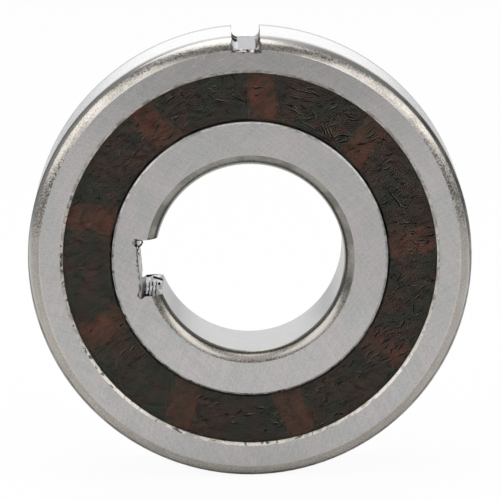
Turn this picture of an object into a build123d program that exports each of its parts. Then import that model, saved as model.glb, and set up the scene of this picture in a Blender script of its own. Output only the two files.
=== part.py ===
from build123d import *
import os
from math import atan2, cos, degrees, hypot, radians, sin

# One-way (sprag) clutch bearing: two keyed rings, with balls and sprags sharing one cage between them.
# Millimetres. Every piece is drawn about the shaft axis Z, front face towards +Z, +Y up, and is then
# stood upright: shaft axis along Y, front face towards -Y, outer keyway at the top.

# ---- rings ----------------------------------------------------------------------------------------
BORE_DIAMETER = 20.0        # shaft seat
INNER_RING_WALL = 4.6       # bore to inner track
TRACK_GAP = 5.2             # between the two tracks, which the sprags bridge
OUTER_RING_WALL = 3.7       # outer track to housing seat, 47 mm across
WIDTH = 14.0                # both rings
BORE_CORNER_DROP = 1.15     # rounded corner of the bore, measured along the face
BORE_CORNER_SETBACK = 1.05  # the same corner, measured along the axis
BORE_CORNER_RADIUS = 1.5    # its arc, cut short by the ground face and the ground seat
RIM_CORNER_DROP = 1.3       # the rim's larger corner, in the same way
RIM_CORNER_SETBACK = 1.5
RIM_CORNER_RADIUS = 1.9
INNER_EDGE_BREAK = 0.2      # chamfer between inner track and face
OUTER_EDGE_BREAK = 0.3      # chamfer between outer track and face

# ---- keyways --------------------------------------------------------------------------------------
SHAFT_KEY_WIDTH = 6.0
SHAFT_KEY_DEPTH = 1.8
SHAFT_KEY_RELIEF = 0.4      # radius of the relief in each floor corner
SHAFT_KEY_ANGLE = 184.0     # from +X, counter-clockwise seen from the front
HOUSING_KEY_WIDTH = 3.0
HOUSING_KEY_DEPTH = 1.5
HOUSING_KEY_FILLET = 0.7
HOUSING_KEY_ANGLE = 90.0

# ---- balls ----------------------------------------------------------------------------------------
STATIONS = 9                # one ball and one sprag at each
BALL_DIAMETER = 6.35
GROOVE_RELIEF = 0.125       # ball groove's own radius over the ball's
BALL_PLAY = 0.01            # radial, at each groove
FIRST_SPRAG_ANGLE = 4.3     # inner contact line of the first sprag
BALL_LEAD = 19.4            # from a sprag's inner contact on to the next ball

# ---- sprags: u runs counter-clockwise along the track, v outwards, at the inner contact -------------
SPRAG_END_CLEARANCE = 0.2   # to each washer
SPRAG_PLAY = 0.015          # at each track, against tight contact in a locked clutch
OUTER_CAM_RADIUS = 4.2
INNER_CAM_RADIUS = 4.6
GRIP_ANGLE = 0.9            # outer contact ahead of the inner contact, about the shaft axis
TOE_REACH = 2.12            # inner end, clockwise side
HEEL_REACH = 1.35           # inner end, counter-clockwise side
BROW_REACH = 0.92           # outer end, clockwise side
CROWN_REACH = 1.87          # outer end, counter-clockwise side
SPRING_LAND_RADIUS = 2.5    # hump the garter spring presses on
WAIST_CLEARANCE = 0.35      # waist of a sprag to the cage bands, at rest
SPRAG_TILT = 6.0            # how far a sprag rolls back, from gripping to free (degrees)

# ---- cage and springs -----------------------------------------------------------------------------
CAGE_END_CLEARANCE = 0.15       # to each washer
CAGE_TRACK_CLEARANCE = 0.35     # to either track
BALL_POCKET_CLEARANCE = 0.1
WINDOW_CLEARANCE = 0.2          # beside a sprag, over its whole tilt
BAND_HALF_WIDTH = 1.5           # bands that cross the windows at mid-width
INNER_BAND_THICKNESS = 0.6
OUTER_BAND_THICKNESS = 1.15
BAND_SIDE_CLEARANCE = 0.25      # waist of a sprag beside the bands, along the axis
WAIST_INSET = 0.45              # waist of a sprag inside its flanks, with the window drawn in as far
RIB_HALF_WIDTH = 1.2            # ribs at mid-width that snap into the two ball grooves
RIB_REACH = 0.18                # past each track, so that no light passes between cage and ring
PEG_DIAMETER = 0.9
PEG_LENGTH = 2.0
PEG_DEPTH = 0.9                 # below the outside of the cage
PEG_LEAD = 12.3                 # from a ball on to its peg
PEG_CLEARANCE = 0.05
SPRING_DEPTH = 1.05             # centre of the coil below the outside of the cage
SPRING_WIRE_RADIUS = 0.4        # outside of the coil
SPRING_INSET = 1.3              # centre of the coil inside the end of the cage
SPRING_CLEARANCE = 0.1

# ---- dust washers ---------------------------------------------------------------------------------
WASHER_THICKNESS = 0.2
WASHER_INSET = 0.55             # outer side of a washer, below the face
WASHER_BITE = 0.2               # into the outer ring's groove
WASHER_GROOVE_CLEARANCE = 0.05
WASHER_RUNNING_GAP = 0.15       # to the inner track

# ---- worked out from the sizes above --------------------------------------------------------------
BORE_RADIUS = BORE_DIAMETER / 2
INNER_TRACK_RADIUS = BORE_RADIUS + INNER_RING_WALL
OUTER_TRACK_RADIUS = INNER_TRACK_RADIUS + TRACK_GAP
OUTER_RADIUS = OUTER_TRACK_RADIUS + OUTER_RING_WALL
PITCH_RADIUS = INNER_TRACK_RADIUS + TRACK_GAP / 2
HALF_WIDTH = WIDTH / 2
BALL_RADIUS = BALL_DIAMETER / 2
GROOVE_RADIUS = BALL_RADIUS + GROOVE_RELIEF
WASHER_INNER_Z = HALF_WIDTH - WASHER_INSET - WASHER_THICKNESS
WASHER_MID_Z = WASHER_INNER_Z + WASHER_THICKNESS / 2
SPRAG_HALF_LENGTH = WASHER_INNER_Z - SPRAG_END_CLEARANCE
CAGE_HALF_WIDTH = WASHER_INNER_Z - CAGE_END_CLEARANCE
STATION_ANGLE = 360 / STATIONS
CAGE_BORE_RADIUS = INNER_TRACK_RADIUS + CAGE_TRACK_CLEARANCE
CAGE_OUTER_RADIUS = OUTER_TRACK_RADIUS - CAGE_TRACK_CLEARANCE
INNER_BAND_RADIUS = CAGE_BORE_RADIUS + INNER_BAND_THICKNESS
OUTER_BAND_RADIUS = CAGE_OUTER_RADIUS - OUTER_BAND_THICKNESS
PEG_RADIUS = PEG_DIAMETER / 2
PEG_PITCH_RADIUS = CAGE_OUTER_RADIUS - PEG_DEPTH
WASHER_OUTER_RADIUS = OUTER_TRACK_RADIUS + WASHER_BITE
WASHER_BORE_RADIUS = INNER_TRACK_RADIUS + WASHER_RUNNING_GAP
SPRING_STATION = CAGE_HALF_WIDTH - SPRING_INSET
SPRING_MAJOR_RADIUS = CAGE_OUTER_RADIUS - SPRING_DEPTH
SPRING_INNER_RADIUS = SPRING_MAJOR_RADIUS - SPRING_WIRE_RADIUS
SPRING_SLOT_WIDTH = 2 * (SPRING_WIRE_RADIUS + SPRING_CLEARANCE)
THROUGH = 2 * WIDTH         # length of a cutter that passes right through
RUN_OUT = 0.2               # share of its length by which a flank is drawn out past each track

UPRIGHT = Rotation(90, 0, 0)


def polar(radius: float, angle: float) -> Vector:
    """Point at a radius and an angle about the shaft axis, in the mid-width plane."""
    return Vector(radius * cos(radians(angle)), radius * sin(radians(angle)))


def band(inner_radius: float, outer_radius: float, height: float, middle: float = 0) -> Part:
    """Plain ring about the shaft axis, centred at the height `middle`."""
    return Pos(0, 0, middle) * (Cylinder(outer_radius, height) - Cylinder(inner_radius, height))


def sprag_angle(station: int) -> float:
    """Angle of the inner contact line of a sprag."""
    return FIRST_SPRAG_ANGLE + station * STATION_ANGLE


def ball_angle(station: int) -> float:
    """Angle of a ball's centre."""
    return sprag_angle(station) + BALL_LEAD


# ---- rings ----------------------------------------------------------------------------------------
def seat_corners(seat_radius: float, drop: float, setback: float, arc: float) -> tuple[Edge, Edge]:
    """Front and rear rounded corners of a seat; `drop` and the arc's radius are signed into the ring."""
    face, seat = seat_radius - drop, HALF_WIDTH - setback
    front = RadiusArc((face, HALF_WIDTH), (seat_radius, seat), arc)
    rear = RadiusArc((seat_radius, -seat), (face, -HALF_WIDTH), arc)
    return front, rear


def ring_blank(corners: tuple[Edge, Edge], track_radius: float, edge_break: float) -> Part:
    """Turned ring before its grooves and keyway; `edge_break` is signed from the track into the ring."""
    front, rear = corners
    chamfer_radius = track_radius + edge_break
    chamfer_height = HALF_WIDTH - abs(edge_break)
    side = Polyline(
        rear @ 1,
        (chamfer_radius, -HALF_WIDTH),
        (track_radius, -chamfer_height),
        (track_radius, chamfer_height),
        (chamfer_radius, HALF_WIDTH),
        front @ 0,
    )
    section = make_face([front, Line(front @ 1, rear @ 0), rear, side])
    return revolve(Plane.XZ * section, Axis.Z)


def ball_groove(contact_radius: float, towards_axis: bool) -> Part:
    """Torus that cuts a ball groove whose bottom lies at `contact_radius`."""
    offset = GROOVE_RADIUS if towards_axis else -GROOVE_RADIUS
    return Torus(contact_radius + offset, GROOVE_RADIUS)


def make_inner_ring() -> Part:
    """Shaft ring: bore with the wide keyway, plain track with a ball groove."""
    corners = seat_corners(BORE_RADIUS, -BORE_CORNER_DROP, BORE_CORNER_SETBACK, -BORE_CORNER_RADIUS)
    ring = ring_blank(corners, INNER_TRACK_RADIUS, -INNER_EDGE_BREAK)
    ring -= ball_groove(PITCH_RADIUS - BALL_RADIUS - BALL_PLAY, towards_axis=True)
    floor = BORE_RADIUS + SHAFT_KEY_DEPTH
    slot = Pos(floor / 2, 0, 0) * Box(floor, SHAFT_KEY_WIDTH, THROUGH)
    for side in (-1, 1):
        slot += Pos(floor, side * (SHAFT_KEY_WIDTH / 2 - SHAFT_KEY_RELIEF / 2), 0) * Cylinder(
            SHAFT_KEY_RELIEF, THROUGH
        )
    return ring - Rot(0, 0, SHAFT_KEY_ANGLE) * slot


def make_outer_ring() -> Part:
    """Housing ring: rim with the narrow keyway, plain track with a ball groove and washer grooves."""
    corners = seat_corners(OUTER_RADIUS, RIM_CORNER_DROP, RIM_CORNER_SETBACK, RIM_CORNER_RADIUS)
    ring = ring_blank(corners, OUTER_TRACK_RADIUS, OUTER_EDGE_BREAK)
    ring -= ball_groove(PITCH_RADIUS + BALL_RADIUS + BALL_PLAY, towards_axis=False)
    groove_radius = WASHER_OUTER_RADIUS + WASHER_GROOVE_CLEARANCE
    groove_width = WASHER_THICKNESS + 2 * WASHER_GROOVE_CLEARANCE
    for side in (-1, 1):
        ring -= Pos(0, 0, side * WASHER_MID_Z) * Cylinder(groove_radius, groove_width)
    mouth = OUTER_RADIUS + HOUSING_KEY_DEPTH
    slot = Box(2 * HOUSING_KEY_DEPTH, HOUSING_KEY_WIDTH, THROUGH)
    floor_edges = slot.edges().filter_by(Axis.Z).group_by(Axis.X)[0]
    slot = Pos(mouth - HOUSING_KEY_DEPTH, 0, 0) * fillet(floor_edges, HOUSING_KEY_FILLET)
    return ring - Rot(0, 0, HOUSING_KEY_ANGLE) * slot


# ---- sprags ---------------------------------------------------------------------------------------
def cam_centres() -> tuple[Vector, Vector]:
    """Centres of the inner and outer cams of a sprag, in its own u, v axes (v is X, u is Y)."""
    inner = Vector(INNER_TRACK_RADIUS + INNER_CAM_RADIUS + SPRAG_PLAY, 0)
    outer = polar(OUTER_TRACK_RADIUS - OUTER_CAM_RADIUS - SPRAG_PLAY, GRIP_ANGLE)
    return inner, outer


def tilted_back(point: Vector) -> Vector:
    """Where a point of the sprag at angle zero goes when the sprag rolls right back."""
    pivot = cam_centres()[1]
    return pivot + (point - pivot).rotate(Axis.Z, SPRAG_TILT)


def flank_outline(toe: Vector, heel: Vector, brow: Vector, crown: Vector) -> Face:
    """Four-sided outline between two flanks, run out past both tracks."""
    lower, upper = (brow - toe) * RUN_OUT, (crown - heel) * RUN_OUT
    return Face(Wire.make_polygon([toe - lower, brow + lower, crown + upper, heel - upper]))


def sprag_corners(inset: float = 0) -> tuple[Vector, Vector, Vector, Vector]:
    """Where the flanks of the sprag at angle zero, drawn in by `inset`, meet the tracks."""
    toe = Vector(INNER_TRACK_RADIUS, inset - TOE_REACH)
    heel = Vector(INNER_TRACK_RADIUS, HEEL_REACH - inset)
    brow = Vector(OUTER_TRACK_RADIUS, inset - BROW_REACH)
    crown = Vector(OUTER_TRACK_RADIUS, CROWN_REACH - inset)
    return toe, heel, brow, crown


def window_outline(inset: float = 0) -> Face:
    """Outline of the cage window that clears a sprag, drawn in by `inset`, from gripping to right back."""
    toe, heel, brow, crown = sprag_corners(inset)
    side = Vector(0, WINDOW_CLEARANCE)
    return flank_outline(tilted_back(toe) - side, heel + side, brow - side, tilted_back(crown) + side)


def make_sprag_blank() -> Part:
    """Sprag at angle zero: two cams, a waist for the cage bands and two humps for the springs."""
    inner_centre, outer_centre = cam_centres()
    section = flank_outline(*sprag_corners()) & Pos(inner_centre) * Circle(INNER_CAM_RADIUS)
    section = section & Pos(outer_centre) * Circle(OUTER_CAM_RADIUS)
    sprag = extrude(section, SPRAG_HALF_LENGTH, both=True)

    waist_height = 2 * (BAND_HALF_WIDTH + BAND_SIDE_CLEARANCE)
    waist_core = band(
        INNER_BAND_RADIUS + WAIST_CLEARANCE, OUTER_BAND_RADIUS - WAIST_CLEARANCE, waist_height
    ) & extrude(flank_outline(*sprag_corners(WAIST_INSET)), waist_height / 2, both=True)
    sprag -= Cylinder(2 * OUTER_TRACK_RADIUS, waist_height) - waist_core

    hump_top = SPRING_INNER_RADIUS - SPRING_CLEARANCE
    hump = Pos(hump_top - SPRING_LAND_RADIUS, 0, 0) * Cylinder(SPRING_LAND_RADIUS, SPRING_SLOT_WIDTH)
    hump_centre_line = Pos(PITCH_RADIUS / 2, 0, 0) * Box(PITCH_RADIUS, PITCH_RADIUS, SPRING_SLOT_WIDTH)
    notch = band(PITCH_RADIUS, 2 * OUTER_TRACK_RADIUS, SPRING_SLOT_WIDTH) - hump - hump_centre_line
    for side in (-1, 1):
        sprag -= Pos(0, 0, side * SPRING_STATION) * notch
    return sprag


# ---- cage -----------------------------------------------------------------------------------------
def make_front_cage_half() -> Part:
    """Front half: blocks with half ball pockets, joined across the sprag windows by two ribbed bands."""
    half = band(CAGE_BORE_RADIUS, CAGE_OUTER_RADIUS, CAGE_HALF_WIDTH, CAGE_HALF_WIDTH / 2)
    bands = band(CAGE_BORE_RADIUS, INNER_BAND_RADIUS, BAND_HALF_WIDTH, BAND_HALF_WIDTH / 2)
    bands += band(OUTER_BAND_RADIUS, CAGE_OUTER_RADIUS, BAND_HALF_WIDTH, BAND_HALF_WIDTH / 2)
    bands += band(INNER_TRACK_RADIUS - RIB_REACH, INNER_BAND_RADIUS, RIB_HALF_WIDTH, RIB_HALF_WIDTH / 2)
    bands += band(OUTER_BAND_RADIUS, OUTER_TRACK_RADIUS + RIB_REACH, RIB_HALF_WIDTH, RIB_HALF_WIDTH / 2)
    window = Pos(0, 0, BAND_HALF_WIDTH) * extrude(window_outline(), WIDTH)
    window += extrude(window_outline(WAIST_INSET), WIDTH)
    pocket = Sphere(BALL_RADIUS + BALL_POCKET_CLEARANCE)
    for station in range(STATIONS):
        half -= Rot(0, 0, sprag_angle(station)) * window
    half += bands
    for station in range(STATIONS):
        half -= Pos(polar(PITCH_RADIUS, ball_angle(station))) * pocket
    spring_groove = band(SPRING_INNER_RADIUS - SPRING_CLEARANCE, 2 * OUTER_RADIUS, SPRING_SLOT_WIDTH)
    return half - Pos(0, 0, SPRING_STATION) * spring_groove


def peg_places() -> list[Vector]:
    """Where the pegs that line up the two halves stand."""
    return [polar(PEG_PITCH_RADIUS, ball_angle(station) + PEG_LEAD) for station in range(STATIONS)]


def make_cage_halves() -> tuple[Part, Part]:
    """Front half with the pegs, rear half with the sockets they enter."""
    front = make_front_cage_half()
    rear = mirror(front, Plane.XY)
    for place in peg_places():
        front += Pos(place) * Cylinder(PEG_RADIUS, 2 * PEG_LENGTH)
        rear -= Pos(place) * Cylinder(PEG_RADIUS + PEG_CLEARANCE, 2 * (PEG_LENGTH + PEG_CLEARANCE))
    return front, rear


def make_washer() -> Part:
    """Thin dust washer, snapped into the outer ring."""
    return band(WASHER_BORE_RADIUS, WASHER_OUTER_RADIUS, WASHER_THICKNESS)


# ---- assembly -------------------------------------------------------------------------------------
def make_pieces() -> dict[str, Part]:
    """Every piece by name, in place about the shaft axis."""
    front_cage_half, rear_cage_half = make_cage_halves()
    spring = Torus(SPRING_MAJOR_RADIUS, SPRING_WIRE_RADIUS)
    pieces = {
        "outer_ring": make_outer_ring(),
        "inner_ring": make_inner_ring(),
        "front_seal_washer": Pos(0, 0, WASHER_MID_Z) * make_washer(),
        "rear_seal_washer": Pos(0, 0, -WASHER_MID_Z) * make_washer(),
        "front_cage_half": front_cage_half,
        "rear_cage_half": rear_cage_half,
        "front_garter_spring": Pos(0, 0, SPRING_STATION) * spring,
        "rear_garter_spring": Pos(0, 0, -SPRING_STATION) * spring,
    }
    sprag = make_sprag_blank()
    for station in range(STATIONS):
        pieces[f"ball_{station + 1}"] = Pos(polar(PITCH_RADIUS, ball_angle(station))) * Sphere(BALL_RADIUS)
        pieces[f"sprag_{station + 1}"] = Rot(0, 0, sprag_angle(station)) * sprag
    return pieces


os.makedirs("parts", exist_ok=True)
for name, piece in make_pieces().items():
    export_step(UPRIGHT * piece, f"parts/{name}.step")
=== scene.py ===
import logging
import math
from dataclasses import dataclass
from enum import Enum
from functools import partial, reduce

import bpy
import numpy as np
from mathutils import Matrix, Vector


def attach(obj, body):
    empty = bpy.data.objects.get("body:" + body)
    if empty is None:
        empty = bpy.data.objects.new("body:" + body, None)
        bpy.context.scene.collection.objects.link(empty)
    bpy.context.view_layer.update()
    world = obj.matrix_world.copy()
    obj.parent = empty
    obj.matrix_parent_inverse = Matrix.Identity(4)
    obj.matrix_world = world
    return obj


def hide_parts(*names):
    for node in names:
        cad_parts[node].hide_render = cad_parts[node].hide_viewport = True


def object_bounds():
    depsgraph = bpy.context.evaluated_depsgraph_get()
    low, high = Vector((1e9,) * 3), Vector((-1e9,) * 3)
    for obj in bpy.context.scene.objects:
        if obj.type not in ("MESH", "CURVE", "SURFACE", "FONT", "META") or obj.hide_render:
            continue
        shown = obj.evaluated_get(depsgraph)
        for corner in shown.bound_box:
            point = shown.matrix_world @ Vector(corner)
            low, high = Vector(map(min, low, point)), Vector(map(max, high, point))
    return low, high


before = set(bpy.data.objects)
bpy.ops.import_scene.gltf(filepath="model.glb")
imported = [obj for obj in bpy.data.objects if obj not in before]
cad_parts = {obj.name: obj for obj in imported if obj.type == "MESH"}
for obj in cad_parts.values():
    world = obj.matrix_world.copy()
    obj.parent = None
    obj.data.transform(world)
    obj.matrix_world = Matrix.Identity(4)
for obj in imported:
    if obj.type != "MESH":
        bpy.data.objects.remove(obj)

# Looks of a one-way (sprag) clutch bearing. Lengths are metres in objects and millimetres in finishes.

MM = 0.001
PER_METRE = 1000.0
CAD_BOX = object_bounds()
log = logging.getLogger("sprag_clutch")

Colour = tuple[float, float, float]
Socket = bpy.types.NodeSocket
Value = Socket | float
Feeds = dict[str | int, Socket | float | Colour]


class Side(Enum):
    """The two faces of the clutch; the value is the sign of Y."""

    FRONT = -1
    REAR = 1


class Slot(Enum):
    """Material slots of the record."""

    RING = "ring_steel"
    BALL = "ball_steel"
    SPRAG = "sprag_steel"
    SPRING = "spring_steel"
    CAGE = "cage_polymer"
    FILM = "washer_film"


# ---- node trees --------------------------------------------------------------------------------------
class Nodes:
    """A node tree, with the kinds of node that the looks need."""

    def __init__(self, tree: bpy.types.NodeTree) -> None:
        """Takes a tree to build in."""
        self.tree = tree

    def feed(self, target: Socket, value: Value | Colour) -> None:
        """Links a socket or sets a plain value.

        Args:
            target: the input to feed.
            value: an output socket, a number or a colour.
        """
        if isinstance(value, bpy.types.NodeSocket):
            self.tree.links.new(value, target)
        elif isinstance(value, tuple) and len(target.default_value) == 4:
            target.default_value = (*value, 1.0)
        else:
            target.default_value = value

    def made(self, kind: str, feeds: Feeds, output: str | int = 0, **settings: str) -> Socket:
        """Makes one node.

        Args:
            kind: the node's type, without its prefix.
            feeds: values of its inputs.
            output: the output that is used.
            settings: the node's own options.

        Returns:
            The output's socket.
        """
        made = self.tree.nodes.new("ShaderNode" + kind)
        for name, choice in settings.items():
            setattr(made, name, choice)
        for name, value in feeds.items():
            self.feed(made.inputs[name], value)
        return made.outputs[output]

    def math(self, operation: str, first: Value, second: Value = 0.0) -> Socket:
        """One Math node, by Blender's name of the operation."""
        return self.made("Math", {0: first, 1: second}, operation=operation)

    def plus(self, *terms: Value) -> Socket:
        """Sum of the terms."""
        return reduce(partial(self.math, "ADD"), terms)

    def times(self, *factors: Value) -> Socket:
        """Product of the factors."""
        return reduce(partial(self.math, "MULTIPLY"), factors)

    def most(self, *values: Value) -> Socket:
        """Largest of the values."""
        return reduce(partial(self.math, "MAXIMUM"), values)

    def split(self, vector: Socket) -> tuple[Socket, ...]:
        """The three values of a vector."""
        return tuple(self.made("SeparateXYZ", {0: vector}).node.outputs)

    def vector(self, x: Value, y: Value, z: Value) -> Socket:
        """A vector from three values."""
        return self.made("CombineXYZ", {0: x, 1: y, 2: z})

    def length(self, vector: Socket) -> Socket:
        """A vector's length."""
        return self.made("VectorMath", {0: vector}, "Value", operation="LENGTH")

    def scaled(self, vector: Socket, factors: Colour) -> Socket:
        """A vector multiplied axis by axis."""
        return self.made("VectorMath", {0: vector, 1: factors}, operation="MULTIPLY")

    def toned(self, colour: Socket | Colour, tone: Value) -> Socket:
        """A colour multiplied by a tone."""
        return self.made("VectorMath", {0: colour, "Scale": tone}, operation="SCALE")

    def noise(self, vector: Socket, scale: float = 1.0, detail: float = 3.0, warp: float = 0.0) -> Socket:
        """Noise from about 0.25 to 0.75, with so many cells for each unit of the vector."""
        return self.made("TexNoise", {"Vector": vector, "Scale": scale, "Detail": detail, "Distortion": warp})

    def ramp(self, value: Value, low: float, high: float, start: float = 0.0, end: float = 1.0) -> Socket:
        """Smooth step of a value, from `start` at `low` to `end` at `high`."""
        feeds = dict(enumerate((value, low, high, start, end)))
        return self.made("MapRange", feeds, interpolation_type="SMOOTHSTEP")

    def drop(self, value: Value, low: float, high: float) -> Socket:
        """Smooth step down, from 1 at `low` to 0 at `high`."""
        return self.ramp(value, low, high, 1.0, 0.0)

    def between(self, value: Value, low: float, high: float, soft: float) -> Socket:
        """Mask that is 1 where a value lies between two bounds, with soft edges."""
        return self.times(self.ramp(value, low - soft, low + soft), self.drop(value, high - soft, high + soft))

    def mixed(self, share: Value, first: Value | Colour, second: Value | Colour) -> Socket:
        """Blend of two colours, with this share of the second."""
        return self.made("Mix", {"Factor": share, 6: first, 7: second}, 2, data_type="RGBA")

    def blended(self, share: Value, first: Value, second: Value) -> Socket:
        """Blend of two numbers, with this share of the second."""
        return self.made("Mix", {"Factor": share, 2: first, 3: second})


class Recipe(Nodes):
    """One material's node tree, measured in millimetres from the shaft axis at mid-width."""

    def __init__(self, name: str) -> None:
        """Starts a material with one Principled shader.

        Args:
            name: the material's name.
        """
        self.material = bpy.data.materials.new(name)
        self.material.use_nodes = True
        super().__init__(self.material.node_tree)
        self.tree.nodes.clear()
        output = self.tree.nodes.new("ShaderNodeOutputMaterial")
        self.shader = self.tree.nodes.new("ShaderNodeBsdfPrincipled")
        self.feed(output.inputs[0], self.shader.outputs[0])
        self.place = self.scaled(self.made("TexCoord", {}, "Object"), (PER_METRE,) * 3)
        self.x, self.y, self.z = self.split(self.place)
        self.radius = self.math("SQRT", self.plus(self.times(self.x, self.x), self.times(self.z, self.z)))
        self.off_centre = self.math("ABSOLUTE", self.y)

    def turned(self, degrees: float, factors: Colour) -> Socket:
        """The place, turned about the shaft axis and then stretched."""
        turn = (0.0, math.radians(degrees), 0.0)
        return self.scaled(self.made("Mapping", {"Vector": self.place, "Rotation": turn}), factors)

    def arcs(self, x: float, z: float, fineness: float) -> Socket:
        """Noise drawn along arcs about a point beside the clutch, as a grinding wheel leaves it.

        Args:
            x: the point's place, in millimetres.
            z: the point's height, in millimetres.
            fineness: lines for each millimetre.

        Returns:
            The noise value.
        """
        across, up = self.plus(self.x, -x), self.plus(self.z, -z)
        reach = self.math("SQRT", self.plus(self.times(across, across), self.times(up, up)))
        bearing = self.math("ARCTAN2", up, across)
        return self.noise(self.vector(self.times(reach, fineness), self.times(bearing, 6.0), 0.0), 1.0, 3.0)

    def relief(self, height: Value, depth: float) -> Socket:
        """Bump of a height map; `depth` is what a height of 1 stands for, in millimetres."""
        return self.made("Bump", {"Distance": depth * MM, "Height": height})

    def finish(self, colour: Value | Colour, roughness: Value, normal: Socket | None = None,
               **others: Value | Colour) -> bpy.types.Material:
        """Feeds the shader.

        Args:
            colour: base colour.
            roughness: roughness.
            normal: bumped normal, if there is one.
            others: more of the shader's inputs.

        Returns:
            The material.
        """
        feeds = {"Base Color": colour, "Roughness": roughness, "Normal": normal, **others}
        for name, value in feeds.items():
            if value is not None:
                self.feed(self.shader.inputs[name], value)
        return self.material


class RingRecipe(Recipe):
    """A ring's node tree, with its turned lines and its keyway's directions."""

    def __init__(self, name: str, key_angle: float) -> None:
        """Starts a ring's material.

        Args:
            name: the material's name.
            key_angle: bearing of the keyway, in degrees.
        """
        super().__init__(name)
        profile = self.vector(self.radius, self.y, self.times(self.noise(self.place, 0.12, 1.0), 0.6))
        self.turning, self.fine_turning = self.noise(profile, 9.0, 3.0), self.noise(profile, 24.0, 2.0)
        alpha = math.radians(key_angle)
        self.lateral = self.plus(self.times(self.x, -math.sin(alpha)), self.times(self.z, math.cos(alpha)))
        self.along = self.plus(self.times(self.x, math.cos(alpha)), self.times(self.z, math.sin(alpha)))


# ---- finishes ----------------------------------------------------------------------------------------
@dataclass(frozen=True)
class Surface:
    """Colour, roughness, height and edge sheen of one surface of a ring."""

    colour: Socket
    rough: Socket
    height: Socket
    sheen: Value = 1.0


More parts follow.
